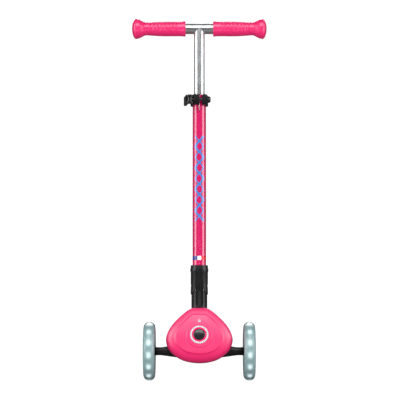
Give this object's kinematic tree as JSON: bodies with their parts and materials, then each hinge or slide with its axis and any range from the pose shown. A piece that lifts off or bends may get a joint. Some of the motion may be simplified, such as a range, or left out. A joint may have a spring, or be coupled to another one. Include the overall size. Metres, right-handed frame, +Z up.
{
  "type": "kick scooter",
  "caption": "Child's three-wheeled lean-to-steer kick scooter with a telescopic T-bar that folds over the deck, lamp-ringed front wheels, a push-button steering lock and a rear foot brake.",
  "frame": {"origin": "on the ground under the middle of the overall box", "axes": "front of the scooter towards -Y, +Z up, +X to the viewer's right from the front"},
  "size_m": [0.283, 0.56, 0.7494],
  "materials": {
    "pink_shell": "satin moulded polypropylene",
    "black_rubber": "matt ribbed rubber",
    "pale_bezel": "pale printed ring",
    "spring_steel": "bright wire",
    "cast_aluminium": "as cast",
    "black_fold_parts": "satin black glass-filled nylon",
    "black_arms": "satin black glass-filled nylon",
    "pale_bushes": "acetal",
    "clear_tyre": "translucent grey-aqua polyurethane",
    "dark_hub": "dark moulded core",
    "lamp_white": "white lamps under the tyre",
    "black_fender": "satin black",
    "pink_tube": "gloss pink paint",
    "tricolour_print": "three printed stripes",
    "satin_aluminium": "satin anodised",
    "pink_grip": "soft moulded rubber, hot pink",
    "black_button": "gloss black",
    "plated_steel": "zinc plated"
  },
  "bodies": {
    "chassis": {"deck_shell": "pink_shell", "grip_pad": "black_rubber", "nose_cover": "pink_shell", "rear_cover": "pink_shell", "lock_housing": "pale_bezel", "lock_spring": "spring_steel", "steering_bracket": "cast_aluminium", "fold_base": "black_fold_parts", "fold_pivot_pin": "plated_steel", "frame_bolts": "plated_steel", "cover_screws": "plated_steel", "kingpins": "plated_steel", "centring_springs": "spring_steel", "rear_axle": "plated_steel", "brake_pivot_pin": "plated_steel", "brake_spring": "spring_steel"},
    "steering_lock": {"lock_button": "black_button", "lock_pin": "plated_steel"},
    "left_arm": {"arm_left": "black_arms", "arm_bushes_left": "pale_bushes", "stub_axle_left": "plated_steel"},
    "right_arm": {"arm_right": "black_arms", "arm_bushes_right": "pale_bushes", "stub_axle_right": "plated_steel"},
    "tie_rod": {"tie_bar": "cast_aluminium", "tie_pins": "plated_steel"},
    "front_wheel_left": {"tyre_left": "clear_tyre", "hub_left": "dark_hub", "bearings_left": "plated_steel", "led_ring_left": "lamp_white", "hub_cap_left": "dark_hub"},
    "front_wheel_right": {"tyre_right": "clear_tyre", "hub_right": "dark_hub", "bearings_right": "plated_steel", "led_ring_right": "lamp_white", "hub_cap_right": "dark_hub"},
    "rear_wheel": {"rear_tyre": "clear_tyre", "rear_hub": "dark_hub", "rear_bearings": "plated_steel"},
    "brake": {"brake_fender": "black_fender", "brake_pad": "black_rubber"},
    "stem": {"fold_socket": "black_fold_parts", "outer_tube": "pink_tube", "tricolour_band": "tricolour_print", "guide_bush": "pale_bushes", "plunger_seat": "pale_bushes", "clamp_collar": "black_fold_parts", "clamp_bolt": "plated_steel", "clamp_nut": "black_fold_parts", "fold_spring": "spring_steel"},
    "clamp_lever": {"clamp_lever": "black_fold_parts", "lever_pin": "plated_steel"},
    "release_button": {"fold_button": "black_button"},
    "release_plunger": {"fold_plunger": "plated_steel"},
    "handlebar": {"inner_post": "satin_aluminium", "crossbar": "satin_aluminium", "post_foot": "pale_bushes", "grip_left": "pink_grip", "grip_right": "pink_grip"}
  },
  "joints": [
    {"name": "steer_left", "type": "hinge", "parent": "chassis", "child": "left_arm", "pos_m": [-0.038, -0.2195, 0.0605], "axis": [0, -0.7071, 0.7071], "range_deg": [-15, 15], "stiffness_Nm_per_rad": 60, "deforming": ["centring_springs"]},
    {"name": "steer_right", "type": "hinge", "parent": "chassis", "child": "right_arm", "pos_m": [0.038, -0.2195, 0.0605], "axis": [0, -0.7071, 0.7071], "range_deg": [-15, 15]},
    {"name": "tie_bar_swivel", "type": "hinge", "parent": "left_arm", "child": "tie_rod", "pos_m": [-0.038, -0.20536, 0.07464], "axis": [0, -0.7071, 0.7071], "range_deg": [-15, 15]},
    {"name": "spin_left", "type": "hinge", "parent": "left_arm", "child": "front_wheel_left", "pos_m": [-0.103, -0.2195, 0.0605], "axis": [1, 0, 0], "continuous": true},
    {"name": "spin_right", "type": "hinge", "parent": "right_arm", "child": "front_wheel_right", "pos_m": [0.103, -0.2195, 0.0605], "axis": [1, 0, 0], "continuous": true},
    {"name": "spin_rear", "type": "hinge", "parent": "chassis", "child": "rear_wheel", "pos_m": [0, 0.238, 0.04], "axis": [1, 0, 0], "continuous": true},
    {"name": "fold", "type": "hinge", "parent": "chassis", "child": "stem", "pos_m": [0, -0.20099, 0.19221], "axis": [-1, 0, 0], "range_deg": [0, 82]},
    {"name": "handlebar_height", "type": "slide", "parent": "stem", "child": "handlebar", "axis": [0, 0.1392, 0.9903], "range_m": [-0.05, 0.05]},
    {"name": "clamp_release", "type": "hinge", "parent": "stem", "child": "clamp_lever", "pos_m": [-0.01991, -0.17176, 0.57991], "axis": [0, 0.1392, 0.9903], "range_deg": [0, 120]},
    {"name": "brake_press", "type": "hinge", "parent": "chassis", "child": "brake", "pos_m": [0, 0.19412, 0.066], "axis": [-1, 0, 0], "range_deg": [0, 4.5], "stiffness_Nm_per_rad": 2, "springref_deg": -11.46, "deforming": ["brake_spring"]},
    {"name": "lock_press", "type": "slide", "parent": "chassis", "child": "steering_lock", "axis": [0, 0.9135, -0.4067], "range_m": [0, 0.003], "stiffness_N_per_m": 400, "springref_m": -0.004, "deforming": ["lock_spring"]},
    {"name": "release_press", "type": "slide", "parent": "stem", "child": "release_button", "axis": [0, -0.9903, 0.1392], "range_m": [0, 0.002], "stiffness_N_per_m": 400, "springref_m": -0.005},
    {"name": "release_lift", "type": "slide", "parent": "stem", "child": "release_plunger", "axis": [0, 0.1392, 0.9903], "range_m": [0, 0.002], "deforming": ["fold_spring"]}
  ],
  "couplings": [
    {"joint": "steer_right", "follows": "steer_left", "ratio": 1},
    {"joint": "tie_bar_swivel", "follows": "steer_left", "ratio": -1},
    {"joint": "release_lift", "follows": "release_press", "ratio": 1}
  ]
}
